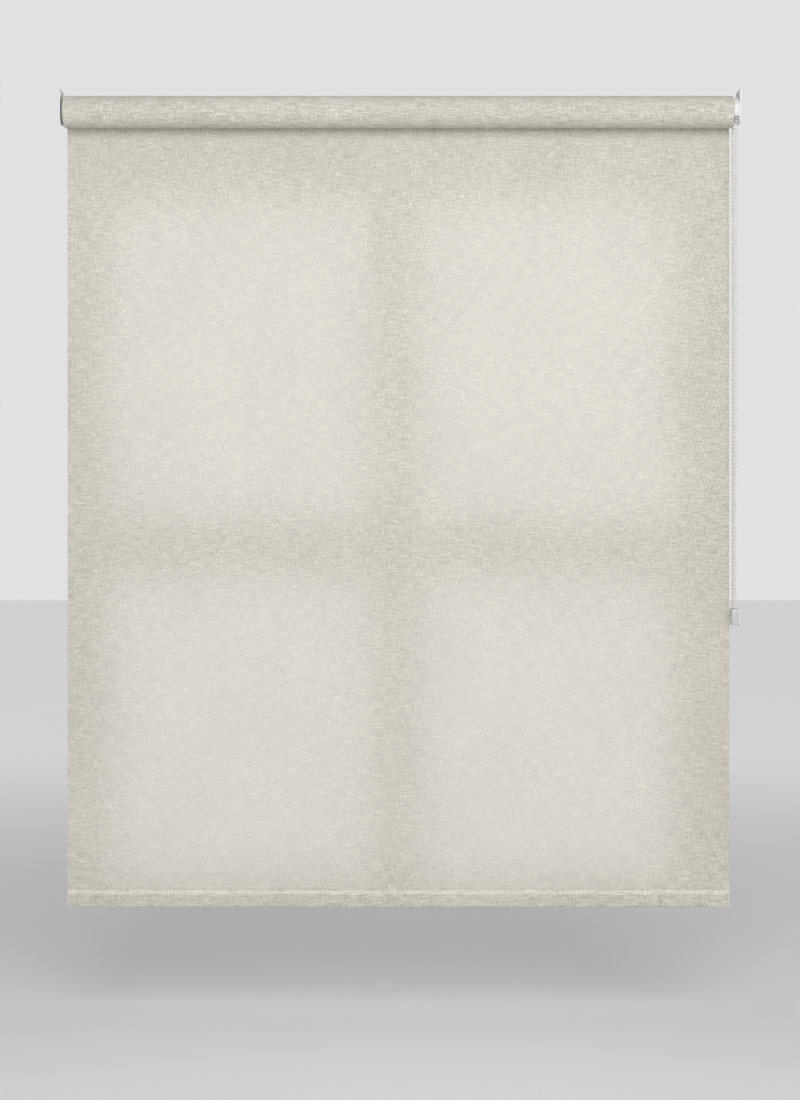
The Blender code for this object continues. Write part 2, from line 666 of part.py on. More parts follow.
def make_clutch(spot):
    for name, place in (("wrap_spring_outer", OUTER_SPRING), ("wrap_spring_inner", INNER_SPRING)):
        first = RIGHT_EDGE + place
        last = first - SPRING_LENGTH
        turns = SPRING_TURNS - TANG_ANGLE / math.pi
        points = coil(SPRING_RADIUS, first, last, TANG_ANGLE, turns, 14)
        tang = SLEEVE_BORE + SLEEVE_WALL / 2
        points.insert(0, around_x(first, tang, TANG_ANGLE))
        points.append(around_x(last, tang, -TANG_ANGLE))
        wire(name, points, SPRING_WIRE / 2, SPRING_STEEL, spot)

    bore = SLEEVE_RADIUS + GAP
    back = DRIVE_PLUG_WALL - PLUG_END_WALL
    plug = turned(
        "drive_plug",
        [(PLUG_RADIUS, GAP), (PLUG_RADIUS, DRIVE_PLUG_END), (bore, DRIVE_PLUG_END), (bore, back),
         (CORE_RADIUS + GAP, back), (CORE_RADIUS + GAP, DRIVE_PLUG_WALL), (bore, DRIVE_PLUG_WALL),
         (bore, GAP)],
        GREY_PLASTIC, 1, spot,
    )
    lug = sector("plug_lug", SLEEVE_BORE, bore + GAP, LUG_HALF_ANGLE,
                 DRIVE_PLUG_WALL - PLUG_END_WALL / 2, -2 * GAP - SPRING_WIRE)
    combine(plug, lug, "UNION")
    slots = key_slots("drive_plug_slots", 2 * GAP, DRIVE_PLUG_END - GAP, RIGHT_EDGE, 1)
    combine(plug, slots)

    washer_end = WASHER_START - WASHER_THICKNESS
    shank = CORE_BORE - GAP
    turned(
        "core_washer",
        [(WASHER_RADIUS, WASHER_START), (WASHER_RADIUS, washer_end), (CORE_BORE, washer_end),
         (CORE_BORE, WASHER_START)],
        SPRING_STEEL, 1, spot, SMALL_ROUND,
    )
    head = washer_end - GAP
    shank_length = (BASE_INNER - CORE_END) / 2
    screw = turned(
        "core_screw",
        [(0, CORE_END + shank_length), (shank, CORE_END + shank_length), (shank, head),
         (SCREW_HEAD_RADIUS, head), (SCREW_HEAD_TIP, head - SCREW_HEAD_HEIGHT),
         (0, head - SCREW_HEAD_HEIGHT)],
        SPRING_STEEL, 1, spot, SMALL_ROUND,
    )
    deep = RIGHT_EDGE + head - SCREW_HEAD_HEIGHT
    long, thin = SCREW_CROSS_LENGTH / 2, SCREW_CROSS_WIDTH / 2
    for name, wide, tall in (("drive_upright", thin, long), ("drive_across", long, thin)):
        combine(screw, block(name, (deep - GAP, -wide, -tall), (deep + SCREW_CROSS_DEPTH, wide, tall)))


# ---------------------------------------------------------------- chain

def make_chain():
    over = [bead_place(k) for k in range(WHEEL_POCKETS // 2 + 1)]
    thread_end = math.sqrt(WHEEL_FLANGE_RADIUS ** 2 - (WHEEL_PITCH_RADIUS - BEAD_RADIUS) ** 2)
    front_top = (CHAIN_X, -WHEEL_PITCH_RADIUS, -thread_end - GAP)
    back_top = (CHAIN_X, WHEEL_PITCH_RADIUS, -thread_end - GAP)
    thread = [(CHAIN_X, -WHEEL_PITCH_RADIUS, -thread_end), *over, (CHAIN_X, WHEEL_PITCH_RADIUS, -thread_end)]
    guide = wire("thread_guide", thread, THREAD_RADIUS)
    strand = put("chain_over_wheel", welded(guide), WHITE_PLASTIC)
    combine(strand, balls("wheel_beads", over, BEAD_RADIUS), "UNION")

    pulley = (CHAIN_X, TENSIONER_BACK, -TENSIONER_DROP)
    front_foot = (CHAIN_X, pulley[1] - PULLEY_PITCH_RADIUS, pulley[2])
    back_foot = (CHAIN_X, pulley[1] + PULLEY_PITCH_RADIUS, pulley[2])
    run = straight(front_top, front_foot, 30)
    for i in range(1, 14):
        angle = math.pi * i / 14
        across = -PULLEY_PITCH_RADIUS * math.cos(angle)
        down = PULLEY_PITCH_RADIUS * math.sin(angle)
        run.append((CHAIN_X, pulley[1] + across, pulley[2] - down))
    run += straight(back_foot, back_top, 30)
    wire("bead_chain", run, BEAD_RADIUS, WHITE_PLASTIC)


def straight(start, end, steps):
    return [tuple(a + (b - a) * i / steps for a, b in zip(start, end)) for i in range(steps + 1)]


# ---------------------------------------------------------------- tensioner

def make_tensioner():
    middle = CHAIN_PAST_CLOTH
    wall = RIGHT_EDGE + CHAIN_WALL
    bead_half = BEAD_RADIUS + GAP
    pulley_half = bead_half + PULLEY_FLANGE
    spot = (RIGHT_EDGE, TENSIONER_BACK, -TENSIONER_DROP)
    groove = PULLEY_PITCH_RADIUS - BEAD_RADIUS - GAP
    flange = PULLEY_PITCH_RADIUS + PULLEY_FLANGE_HEIGHT
    bore = PULLEY_PIN_RADIUS + GAP
    turned(
        "tensioner_wheel",
        [(flange, middle + pulley_half), (flange, middle + bead_half), (groove, middle + bead_half),
         (groove, middle - bead_half), (flange, middle - bead_half), (flange, middle - pulley_half),
         (bore, middle - pulley_half), (bore, middle + pulley_half)],
        WHITE_PLASTIC, 1, spot, SMALL_ROUND + 4,
    )
    turned(
        "tensioner_pin",
        [(0, CHAIN_WALL - GAP), (PULLEY_PIN_RADIUS, CHAIN_WALL - GAP),
         (PULLEY_PIN_RADIUS, middle - pulley_half), (0, middle - pulley_half)],
        SPRING_STEEL, 1, spot, 16,
    )

    inner_half = PULLEY_PITCH_RADIUS + BEAD_RADIUS + COVER_ROOM
    outer_half = inner_half + COVER_WALL
    bottom = spot[2] - outer_half
    top = bottom + COVER_HEIGHT
    face = RIGHT_EDGE + middle - pulley_half - GAP - COVER_WALL
    seat = wall - TENSIONER_BASE
    plate = rectangle(
        spot[1] - outer_half, spot[1] + outer_half, bottom, top, COVER_CORNER, COVER_CORNER, 4
    )
    pin_hole = circle((spot[1], spot[2]), bore, 16)
    screw_hole = circle((spot[1], (top - COVER_WALL + spot[2] + BOSS_RADIUS) / 2), TENSIONER_HOLE, 16)
    base = extruded("tensioner_base", [plate, pin_hole, screw_hole], seat, wall, WHITE_PLASTIC)
    boss_end = RIGHT_EDGE + middle + pulley_half + GAP
    boss = extruded(
        "base_boss", [circle((spot[1], spot[2]), BOSS_RADIUS), pin_hole], boss_end, seat + TENSIONER_BASE / 2
    )
    combine(base, boss, "UNION")

    cover = extruded("tensioner_cover", [plate], face, seat - GAP, CLEAR_PLASTIC)
    hollow = block(
        "cover_hollow",
        (face + COVER_WALL, spot[1] - inner_half, bottom + COVER_WALL),
        (wall, spot[1] + inner_half, top - COVER_WALL),
    )
    combine(cover, hollow)
    slot = BEAD_RADIUS + COVER_ROOM
    reach = inner_half - GAP / 3
    mouth = block(
        "cover_mouth",
        (RIGHT_EDGE + middle - slot, spot[1] - reach, top - 2 * COVER_WALL),
        (RIGHT_EDGE + middle + slot, spot[1] + reach, top + COVER_WALL),
    )
    combine(cover, mouth)


def main():
    empty_the_scene()
    make_tube_and_cloth()
    make_hem()
    make_brackets()
    make_idle_end()
    make_drive()
    make_chain()
    make_tensioner()
    for piece in COLLECTION.objects:
        if piece.type == "MESH":
            piece.data.shade_smooth()
            piece.data.set_sharp_from_angle(angle=math.radians(35))


main()
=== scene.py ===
"""Looks of a chain-operated roller blind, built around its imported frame.

All sizes are in metres. +X runs along the roller to the chain end, +Y points to the window, +Z up, and the
origin lies on the roller's axis.
"""

import json
import math

import bmesh
import bpy
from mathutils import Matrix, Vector

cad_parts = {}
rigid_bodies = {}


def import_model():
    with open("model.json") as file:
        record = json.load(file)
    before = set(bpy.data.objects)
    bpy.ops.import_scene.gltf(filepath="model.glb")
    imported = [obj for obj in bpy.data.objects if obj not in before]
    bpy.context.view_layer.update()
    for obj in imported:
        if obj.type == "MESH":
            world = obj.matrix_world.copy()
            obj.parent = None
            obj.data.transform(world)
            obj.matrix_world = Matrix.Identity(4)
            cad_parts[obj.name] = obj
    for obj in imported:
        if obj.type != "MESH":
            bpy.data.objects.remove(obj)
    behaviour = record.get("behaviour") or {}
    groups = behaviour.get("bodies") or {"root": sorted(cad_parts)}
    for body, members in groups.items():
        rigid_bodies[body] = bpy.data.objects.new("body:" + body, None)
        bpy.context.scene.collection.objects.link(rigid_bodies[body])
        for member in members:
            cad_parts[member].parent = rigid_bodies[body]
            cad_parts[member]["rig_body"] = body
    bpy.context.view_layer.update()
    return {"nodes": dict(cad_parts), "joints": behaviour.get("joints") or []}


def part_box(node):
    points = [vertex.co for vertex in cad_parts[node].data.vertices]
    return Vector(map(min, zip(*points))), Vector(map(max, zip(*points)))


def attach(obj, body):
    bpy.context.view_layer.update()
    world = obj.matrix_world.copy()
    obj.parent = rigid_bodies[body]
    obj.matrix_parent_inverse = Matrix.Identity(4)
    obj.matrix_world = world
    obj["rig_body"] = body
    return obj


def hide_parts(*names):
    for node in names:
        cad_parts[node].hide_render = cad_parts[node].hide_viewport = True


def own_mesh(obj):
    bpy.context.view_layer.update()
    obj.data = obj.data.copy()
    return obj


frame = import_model()

MM = 0.001

# ---------------------------------------------------------------- sizes

ROLL_LOW, ROLL_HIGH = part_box("fabric_roll")
SHEET_LOW, SHEET_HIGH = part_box("fabric_sheet")
HEM_LOW, HEM_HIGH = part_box("hem_pocket")
TUBE_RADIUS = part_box("roller_tube")[1].z

LEFT, RIGHT = ROLL_LOW.x, ROLL_HIGH.x
MIDDLE = (LEFT + RIGHT) / 2
WIDTH = RIGHT - LEFT

CLOTH = 0.42 * MM                       # thickness
CLOTH_STANDOFF = 0.25 * MM              # the cloth's middle from the tube, and from the roll's outside
ROLL_OUTER = ROLL_HIGH.z - CLOTH_STANDOFF
ROLL_INNER = TUBE_RADIUS + CLOTH_STANDOFF
ROLL_TURNS = 4.5
STEPS_OF_A_TURN = 56
TURN_STEP = (ROLL_OUTER - ROLL_INNER) / ROLL_TURNS

SHEET_Y = (SHEET_LOW.y + SHEET_HIGH.y) / 2
SHEET_FOOT = HEM_HIGH.z

SEAM_HEIGHT = 6.3 * MM                  # welded double band at the top of the hem
BAR_TOP = HEM_LOW.z + 17 * MM
SEAM_FADE = 9.6 * MM                    # from the top of the hem to where the seam's paler tone has gone
POCKET_HALF = 2.45 * MM                 # sheet's middle to the middle of the pocket's wall
HEM_STRIPS = 30

THREAD_PITCH = 0.8 * MM
THREAD_WANDER = 1.2 * MM
PAINTED_SHADE_FULL_TO = 17 * MM                   # down to here the roll stands close before the hanging cloth, and painted shade lets only a fifth of the light through
PAINTED_SHADE_GONE_AT = 33 * MM                 # and from here on nothing does, and the painted shade is gone

# the chain's route, as the solids have it
CHAIN_X = 526.775 * MM
WHEEL_POCKETS = 16
BEAD_PITCH = 6 * MM
BEAD_RADIUS = 2.25 * MM
THREAD_RADIUS = 0.6 * MM
WHEEL_RADIUS = BEAD_PITCH / 2 / math.sin(math.pi / WHEEL_POCKETS)
PULLEY_RADIUS = 9 * MM
PULLEY_Y = 8 * MM
PULLEY_Z = -793.7 * MM

IDLE_WIRE_RADIUS = 0.5 * MM
IDLE_TURNS = 7.0

EYE = (MIDDLE, -3.13, -0.7145)
FLOOR_Z = -1.46
FLOOR_HALF = 40
PANE_ROWS = ((-0.131, -0.640), (-0.728, -1.212))    # top and foot of each pane
PANE_SIDES = ((-0.465, -0.045), (0.029, 0.432))     # its left and right edge
PANE_GAP = 0.045                                    # from the cloth back to the panes


def travel(name):
    """How far a sliding joint goes."""
    return next(joint["range_m"][1] for joint in frame["joints"] if joint["name"] == name)


# ---------------------------------------------------------------- node trees

class Flow:
    """One output of a node tree. Sums written with it add the Math nodes that work them out."""

    def __init__(self, tree, socket):
        self.tree = tree
        self.socket = socket

    def math(self, operation, *values):
        return self.tree.node("ShaderNodeMath", {"operation": operation}, dict(enumerate(values)))

    def __add__(self, other):
        return self.math("ADD", self, other)

    def __sub__(self, other):
        return self.math("SUBTRACT", self, other)

    def __rsub__(self, other):
        return self.math("SUBTRACT", other, self)

    def __mul__(self, other):
        return self.math("MULTIPLY", self, other)

    def __truediv__(self, other):
        return self.math("DIVIDE", self, other)

    def __abs__(self):
        return self.math("ABSOLUTE", self)

    __radd__ = __add__

    def sine(self):
        return self.math("SINE", self)

    def cosine(self):
        return self.math("COSINE", self)

    def root(self):
        return self.math("SQRT", self)

    def between(self, start, end):
        """0 up to start, 1 from end on, and a smooth rise between them."""
        settings = {"interpolation_type": "SMOOTHSTEP"}
        return self.tree.node("ShaderNodeMapRange", settings, {0: self, 1: start, 2: end})


class Tree:
    """A node tree being built."""

    def __init__(self, tree):
        self.tree = tree

    def node(self, kind, settings=None, inputs=None, output=0):
        """Add a node: its settings, then the values or links of its sockets."""
        made = self.tree.nodes.new(kind)
        for name, value in (settings or {}).items():
            setattr(made, name, value)
        for key, value in (inputs or {}).items():
            self.feed(made.inputs[key], value)
        if isinstance(output, tuple):
            return [Flow(self, made.outputs[name]) for name in output]
        return Flow(self, made.outputs[output])

    def feed(self, socket, value):
        if isinstance(value, Flow):
            self.tree.links.new(value.socket, socket)
        else:
            socket.default_value = value

    def split(self, vector):
        return self.node("ShaderNodeSeparateXYZ", None, {0: vector}, ("X", "Y", "Z"))

    def join(self, x, y, z):
        return self.node("ShaderNodeCombineXYZ", None, {0: x, 1: y, 2: z})

    def stretch(self, vector, scale):
        return self.node("ShaderNodeVectorMath", {"operation": "MULTIPLY"}, {0: vector, 1: scale})

    def noise(self, place, detail=2.0, roughness=0.5):
        """Soft random values about 0.5, one lump to a unit of the place."""
        values = {"Vector": place, "Scale": 1.0, "Detail": detail, "Roughness": roughness}
        return self.node("ShaderNodeTexNoise", None, values)


class Finish(Tree):
    """A material whose tree says how the surface varies."""

    def __init__(self, name, even):
        self.material = bpy.data.materials.new(name)
        self.material.use_nodes = True
        super().__init__(self.material.node_tree)
        self.shader = self.tree.nodes["Principled BSDF"]
        self.vary(even)

    def vary(self, values):
        for name, value in values.items():
            self.feed(self.shader.inputs[name], value)

    def place(self, *scale):
        """The piece's own coordinates, in lumps per metre along each axis."""
        return self.stretch(self.node("ShaderNodeTexCoord", output="Object"), scale)

    def blend(self, share, low, high):
        values = {0: share, 6: (*low, 1), 7: (*high, 1)}
        return self.node("ShaderNodeMix", {"data_type": "RGBA"}, values, 2)

    def relief(self, height, depth):
        bump = self.node("ShaderNodeBump", None, {"Strength": 1.0, "Distance": depth, "Height": height})
        self.vary({"Normal": bump})


class Shape(Tree):
    """A geometry tree with named inputs, run once on a mesh to leave a plain mesh."""

    KINDS = {float: "NodeSocketFloat", int: "NodeSocketInt"}

    def __init__(self, name, sizes, finish):
        super().__init__(bpy.data.node_groups.new(name, "GeometryNodeTree"))
        self.values = {}
        self.tree.interface.new_socket("Path", in_out="INPUT", socket_type="NodeSocketGeometry")
        self.tree.interface.new_socket("Mesh", in_out="OUTPUT", socket_type="NodeSocketGeometry")
        for size, value in sizes.items():
            kind = self.KINDS[type(value)]
            socket = self.tree.interface.new_socket(size, in_out="INPUT", socket_type=kind)
            self.values[socket.identifier] = value
        socket = self.tree.interface.new_socket("Finish", in_out="INPUT", socket_type="NodeSocketMaterial")
        self.values[socket.identifier] = finish.material
        self.given = self.tree.nodes.new("NodeGroupInput")

    def input(self, name):
        return Flow(self, self.given.outputs[name])

    def close(self, geometry):
        solid = self.node("GeometryNodeRealizeInstances", None, {0: geometry})
        inputs = {"Geometry": solid, "Material": self.input("Finish")}
        coloured = self.node("GeometryNodeSetMaterial", None, inputs)
        self.tree.links.new(coloured.socket, self.tree.nodes.new("NodeGroupOutput").inputs[0])

    def run(self, name, mesh):
        """The finished piece, made from a mesh of the path or from an empty one."""
        piece = bpy.data.objects.new(name, mesh)
        step = piece.modifiers.new(self.tree.name, "NODES")
        step.node_group = self.tree
        for identifier, value in self.values.items():
            step[identifier] = value
        bpy.context.scene.collection.objects.link(piece)
        return plain(piece)


# ---------------------------------------------------------------- making pieces

def plain(piece):
    """Turn a piece's modifiers into its own mesh."""
    bpy.context.view_layer.update()
    graph = bpy.context.evaluated_depsgraph_get()
    mesh = bpy.data.meshes.new_from_object(piece.evaluated_get(graph), depsgraph=graph)
    piece.modifiers.clear()
    piece.data = mesh
    return piece


def thicken(piece, thickness):
    step = piece.modifiers.new("thickness", "SOLIDIFY")
    step.thickness = thickness
    step.offset = 0
    step.use_even_offset = True
    return plain(piece)


def smooth(piece, angle=35):
    piece.data.shade_smooth()
    piece.data.set_sharp_from_angle(angle=math.radians(angle))
    return piece


def fit(piece, body, slot, *nodes):
    """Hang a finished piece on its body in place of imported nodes."""
    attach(piece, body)
    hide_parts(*nodes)
    return piece


def polyline(name, points):
    mesh = bpy.data.meshes.new(name)
    mesh.from_pydata(points, [(i, i + 1) for i in range(len(points) - 1)], [])
    return mesh


# ---------------------------------------------------------------- camera and light

def point_at(thing, place, target):
    thing.location = place
    thing.rotation_euler = (Vector(target) - Vector(place)).to_track_quat("-Z", "Y").to_euler()
    bpy.context.scene.collection.objects.link(thing)


def add_camera():
    data = bpy.data.cameras.new("camera")
    data.sensor_width = 36
    data.lens = 65.06
    data.shift_x = 0.0015
    data.shift_y = 0.0145
    data.clip_end = 50
    camera = bpy.data.objects.new("camera", data)
    point_at(camera, EYE, (MIDDLE, 0, EYE[2]))
    bpy.context.scene.camera = camera


def soft_light(name, place, target, size, brightness, colour=(1, 1, 1), height=None):
    """A flat panel; brightness is that of its face, where 1 is plain white."""
    data = bpy.data.lights.new(name, "AREA")
    data.shape = "RECTANGLE"
    data.size = size
    data.size_y = height or size
    data.energy = brightness * math.pi * data.size * data.size_y
    data.color = colour
    light = bpy.data.objects.new(name, data)
    light.visible_camera = False
    point_at(light, place, target)


def add_studio():
    world = bpy.data.worlds.new("studio")
    world.use_nodes = True
    bpy.context.scene.world = world
    sky = Tree(world.node_tree)
    seen = sky.node("ShaderNodeLightPath", output="Is Camera Ray")
    shade = world.node_tree.nodes["Background"]
    shade.inputs["Color"].default_value = (1, 1, 1.01, 1)
    sky.feed(shade.inputs["Strength"], seen * 0.34 + 0.415)

    soft_light("front_panel", (0.35, -3.4, 0.58), (0, 0, -0.38), 1.9, 7.15)
    for row, (top, foot) in enumerate(PANE_ROWS):
        for side, (start, end) in enumerate(PANE_SIDES):
            middle = ((start + end) / 2, SHEET_HIGH.y + PANE_GAP, (top + foot) / 2)
            soft_light(f"pane_{row}_{side}", middle, (middle[0], 0, middle[2]), end - start, 0.6,
                       (0.88, 0.88, 1.0), top - foot)

    build = bmesh.new()
    bmesh.ops.create_grid(build, x_segments=1, y_segments=1, size=FLOOR_HALF)
    bmesh.ops.translate(build, vec=(0, 0, FLOOR_Z), verts=build.verts)
    mesh = bpy.data.meshes.new("floor")
    build.to_mesh(mesh)
    build.free()
    floor = bpy.data.objects.new("floor", mesh)
    bpy.context.scene.collection.objects.link(floor)
    pale = Finish("pale_floor", {"Roughness": 0.9, "Emission Strength": 1.0})
    _, away, _ = pale.split(pale.place(1, 1, 1))
    # the floor glows as painted light: faintly near the blind, more brightly farther off in front and behind
    pale.vary({
        "Base Color": pale.blend(pale.noise(pale.place(3, 3, 3)), (0.78, 0.78, 0.785), (0.8, 0.8, 0.805)),
        "Emission Color": pale.blend(abs(away).between(0.4, 5), (0.06, 0.06, 0.06), (0.3, 0.3, 0.3)),
    })
    mesh.materials.append(pale.material)


# ---------------------------------------------------------------- finishes

def cloth_finish(name, seam_top=None, backed=0.0):
    """Linen-look cloth that lets some light through, laid out on its run: across the cloth, then down it.

    backed is taken off the share of light that goes through, where more layers lie behind. With none behind,
    that share falls to a fifth beside the roll and is whole from just below it: painted shade under the roll.
    """
    cloth = Finish(name, {"Specular IOR Level": 0.2, "Sheen Weight": 0.12, "Sheen Roughness": 0.6})
    run = cloth.node("ShaderNodeUVMap", {"uv_map": "run"})
    across, down, _ = cloth.split(run)

    drift_across = cloth.noise(cloth.stretch(run, (60, 22, 0)), 1) - 0.5
    drift_down = cloth.noise(cloth.stretch(run, (22, 60, 0)), 1) - 0.5
    warp = ((across + drift_across * THREAD_WANDER) * (math.pi / THREAD_PITCH)).sine()
    weft = ((down + drift_down * THREAD_WANDER) * (math.pi / THREAD_PITCH)).sine()
    crossing = warp * weft
    thread = abs(crossing).root()

    weft_slub = cloth.noise(cloth.stretch(run, (45, 620, 0)), 3, 0.6)
    warp_slub = cloth.noise(cloth.stretch(run, (700, 60, 0)), 3, 0.6)
    fleck = cloth.noise(cloth.stretch(run, (480, 560, 0)), 2, 0.6)
    patch = cloth.noise(cloth.stretch(run, (80, 120, 0)), 2)
    cloud = cloth.noise(cloth.stretch(run, (9, 6, 0)), 2)
    slubs = weft_slub * 0.9 + warp_slub * 0.7 + fleck * 1.5
    tone = slubs + patch * 0.25 + cloud * 0.14 - 1.245 + crossing * 0.06
    shade = tone.between(0.05, 0.95)
    weight = 0.68 - backed - shade * 0.36
    height = thread * 0.7 + tone * 0.5

    dark, light = (0.46, 0.442, 0.375), (0.95, 0.916, 0.84)
    if seam_top is not None:
        below = down * -1 - seam_top
        # line is a thin groove at the hem's top: real relief and a little less light through, with its colour
        # darkened as painted shadow under the welded band's edge
        line = below.between(0, 0.2 * MM) - below.between(0.4 * MM, 1.0 * MM)
        band = below.between(0.3 * MM, 1.1 * MM) - below.between(SEAM_HEIGHT, SEAM_FADE)
        press = cloth.noise(cloth.stretch(run, (330, 200, 0)), 2, 0.5).between(0.42, 0.6)
        shade = shade + band * (0.22 + press * 0.3) - line * 0.2
        height = height - line * 1.6 - band * 0.6
        weight = weight - line * 0.06
    elif not backed:
        # painted shade under the roll: the hanging cloth lets only a fifth of its light through beside the
        # roll
        clear_of_painted_shade = (down * -1).between(PAINTED_SHADE_FULL_TO, PAINTED_SHADE_GONE_AT)
        weight = weight * (clear_of_painted_shade * 0.8 + 0.2)
    cloth.vary({
        "Base Color": cloth.blend(shade, dark, light),
        "Roughness": thread * -0.08 + 0.94,
    })
    cloth.relief(height, 0.05 * MM)

    through = cloth.tree.nodes.new("ShaderNodeBsdfTranslucent")
    through.inputs["Color"].default_value = (0.93, 0.92, 0.88, 1)
    mixed = cloth.tree.nodes.new("ShaderNodeMixShader")
    cloth.feed(mixed.inputs[0], weight)
    cloth.tree.links.new(cloth.shader.outputs[0], mixed.inputs[1])
    cloth.tree.links.new(through.outputs[0], mixed.inputs[2])
    cloth.tree.links.new(mixed.outputs[0], cloth.tree.nodes["Material Output"].inputs["Surface"])
    return cloth


def moulded_finish(name, colour, roughness, even=None, grain=1500):
    """Moulded plastic with a fine eroded texture and a slight unevenness of colour."""
    plastic = Finish(name, {"Specular IOR Level": 0.5, **(even or {})})
    flow = plastic.noise(plastic.place(70, 110, 110), 3)
    texture = plastic.noise(plastic.place(grain, grain, grain), 2)
    low = [c * 0.94 for c in colour]
    high = [min(c * 1.04, 1) for c in colour]
    plastic.vary({
        "Base Color": plastic.blend(flow.between(0.3, 0.7), low, high),
        "Roughness": flow * 0.12 + texture * 0.08 + (roughness - 0.1),
    })
    plastic.relief(texture + flow * 0.5, 0.025 * MM)
    return plastic


def powder_finish():
    """White powder coat: fine orange peel over the plate."""
    powder = Finish("white_powder_coat", {"Coat Roughness": 0.25})
    peel = powder.noise(powder.place(620, 620, 620), 2, 0.4)
    speck = powder.noise(powder.place(2600, 2600, 2600), 1)
    drift = powder.noise(powder.place(40, 55, 55), 3)
    powder.vary({
        "Base Color": powder.blend(drift.between(0.3, 0.7), (0.7, 0.7, 0.69), (0.76, 0.76, 0.75)),
        "Roughness": peel * 0.14 + drift * 0.1 + 0.26,
        "Coat Weight": drift * 0.2 + 0.05,
    })
    powder.relief(peel + speck * 0.25, 0.05 * MM)
    return powder


def metal_finish(name, low, high, stretch, roughness):
    """Drawn or extruded metal, its fine lines running the way that it was drawn."""
    metal = Finish(name, {"Metallic": 1.0})
    lines = metal.noise(metal.place(*stretch), 3, 0.6)
    dull = metal.noise(metal.place(35, 90, 90), 2)
    metal.vary({
        "Base Color": metal.blend(lines * 0.6 + dull * 0.4, low, high),
        "Roughness": lines * 0.18 + dull * 0.12 + (roughness - 0.15),
    })
    metal.relief(lines, 0.015 * MM)
    return metal


# ---------------------------------------------------------------- cloth

def wound_cloth(finish):
    """The cloth on the tube: a spiral from the line at the back where the hanging cloth leaves it."""
    shape = Shape("cloth_winding", {
        "Width": WIDTH, "Middle": MIDDLE, "Outer radius": ROLL_OUTER, "Step of a turn": TURN_STEP,
        "Turns": ROLL_TURNS, "Steps": int(ROLL_TURNS * STEPS_OF_A_TURN), "Strips": 12,
    }, finish)
    angle_span = shape.input("Turns") * math.tau
    grid = shape.node("GeometryNodeMeshGrid", None, {
        "Size X": shape.input("Width"), "Size Y": angle_span,
        "Vertices X": shape.input("Strips") + 1, "Vertices Y": shape.input("Steps") + 1,
    })
    across, around, _ = shape.split(shape.node("GeometryNodeInputPosition"))
    angle = around + angle_span / 2
    step = shape.input("Step of a turn") / math.tau
    radius = shape.input("Outer radius") - step * angle
    run = shape.input("Outer radius") * angle - step * angle * angle / 2
    named = shape.node(
        "GeometryNodeStoreNamedAttribute", {"data_type": "FLOAT2", "domain": "CORNER"},
        {"Geometry": grid, "Name": "run", "Value": shape.join(across, run, 0)},
    )
    place = shape.join(across + shape.input("Middle"), radius * angle.cosine(), radius * angle.sine())
    wound = shape.node("GeometryNodeSetPosition", None, {"Geometry": named, "Position": place})
    shape.close(wound)
    piece = thicken(shape.run("wound_cloth", bpy.data.meshes.new("wound_cloth")), CLOTH)
    return fit(smooth(piece, 50), "roller", "cloth", "fabric_roll")


def hanging_cloth(finish):
    """The cloth from the back of the roll down to the hem, nearly flat."""
    drop = -SHEET_FOOT
    shape = Shape("cloth_hanging", {
        "Width": WIDTH, "Middle": MIDDLE, "Drop": drop, "Top line": ROLL_OUTER, "Foot line": SHEET_Y,
        "Ripple": 0.5 * MM, "Strips": 60, "Steps": 80,
    }, finish)
    grid = shape.node("GeometryNodeMeshGrid", None, {
        "Size X": shape.input("Width"), "Size Y": shape.input("Drop"),
        "Vertices X": shape.input("Strips") + 1, "Vertices Y": shape.input("Steps") + 1,
    })
    across, up, _ = shape.split(shape.node("GeometryNodeInputPosition"))
    height = up - shape.input("Drop") / 2
    share = height * -1 / shape.input("Drop")
    named = shape.node(
        "GeometryNodeStoreNamedAttribute", {"data_type": "FLOAT2", "domain": "CORNER"},
        {"Geometry": grid, "Name": "run", "Value": shape.join(across, height, 0)},
    )
    free = share.between(0.0, 0.25) * (1 - share.between(0.86, 1.0))
    wave = shape.noise(shape.join(across * 5, height * 0.9, 0), 1) - 0.5
    line = shape.input("Top line") + (shape.input("Foot line") - shape.input("Top line")) * share.root()
    place = shape.join(across + shape.input("Middle"), line + wave * free * shape.input("Ripple") * 2, height)
    hung = shape.node("GeometryNodeSetPosition", None, {"Geometry": named, "Position": place})
    shape.close(shape.node("GeometryNodeFlipFaces", None, {0: hung}))
    piece = thicken(shape.run("hanging_cloth", bpy.data.meshes.new("hanging_cloth")), CLOTH)
    return fit(smooth(piece, 50), "root", "cloth", "fabric_sheet")


def ease(share):
    """Smooth rise from 0 to 1."""
    return share * share * (3 - 2 * share)


def hem_profile():
    """Middle line of the hem's cloth in section: (y, z) down the front, round the bar and up the back."""
    top = SHEET_FOOT
    weld = top - SEAM_HEIGHT
    centre = HEM_LOW.z + POCKET_HALF + CLOTH / 2 + 0.04 * MM
    back = CLOTH * 1.05
    points = [(0, top - SEAM_HEIGHT * i / 6) for i in range(7)]
    for i in range(1, 9):
        share = i / 8
        points.append((-POCKET_HALF * ease(share), weld + (BAR_TOP - weld) * share))
    points += [(-POCKET_HALF, BAR_TOP + (centre - BAR_TOP) * i / 4) for i in range(1, 4)]
    for i in range(15):
        angle = math.pi * i / 14
        points.append((-POCKET_HALF * math.cos(angle), centre - POCKET_HALF * math.sin(angle)))
    points += [(POCKET_HALF, centre + (BAR_TOP - centre) * i / 4) for i in range(1, 5)]
    for i in range(1, 9):
        share = i / 8
        points.append((POCKET_HALF + (back - POCKET_HALF) * ease(share), BAR_TOP + (weld - BAR_TOP) * share))
    points += [(back, weld + SEAM_HEIGHT * i / 6) for i in range(1, 7)]
    return [(SHEET_Y + y, z) for y, z in points]


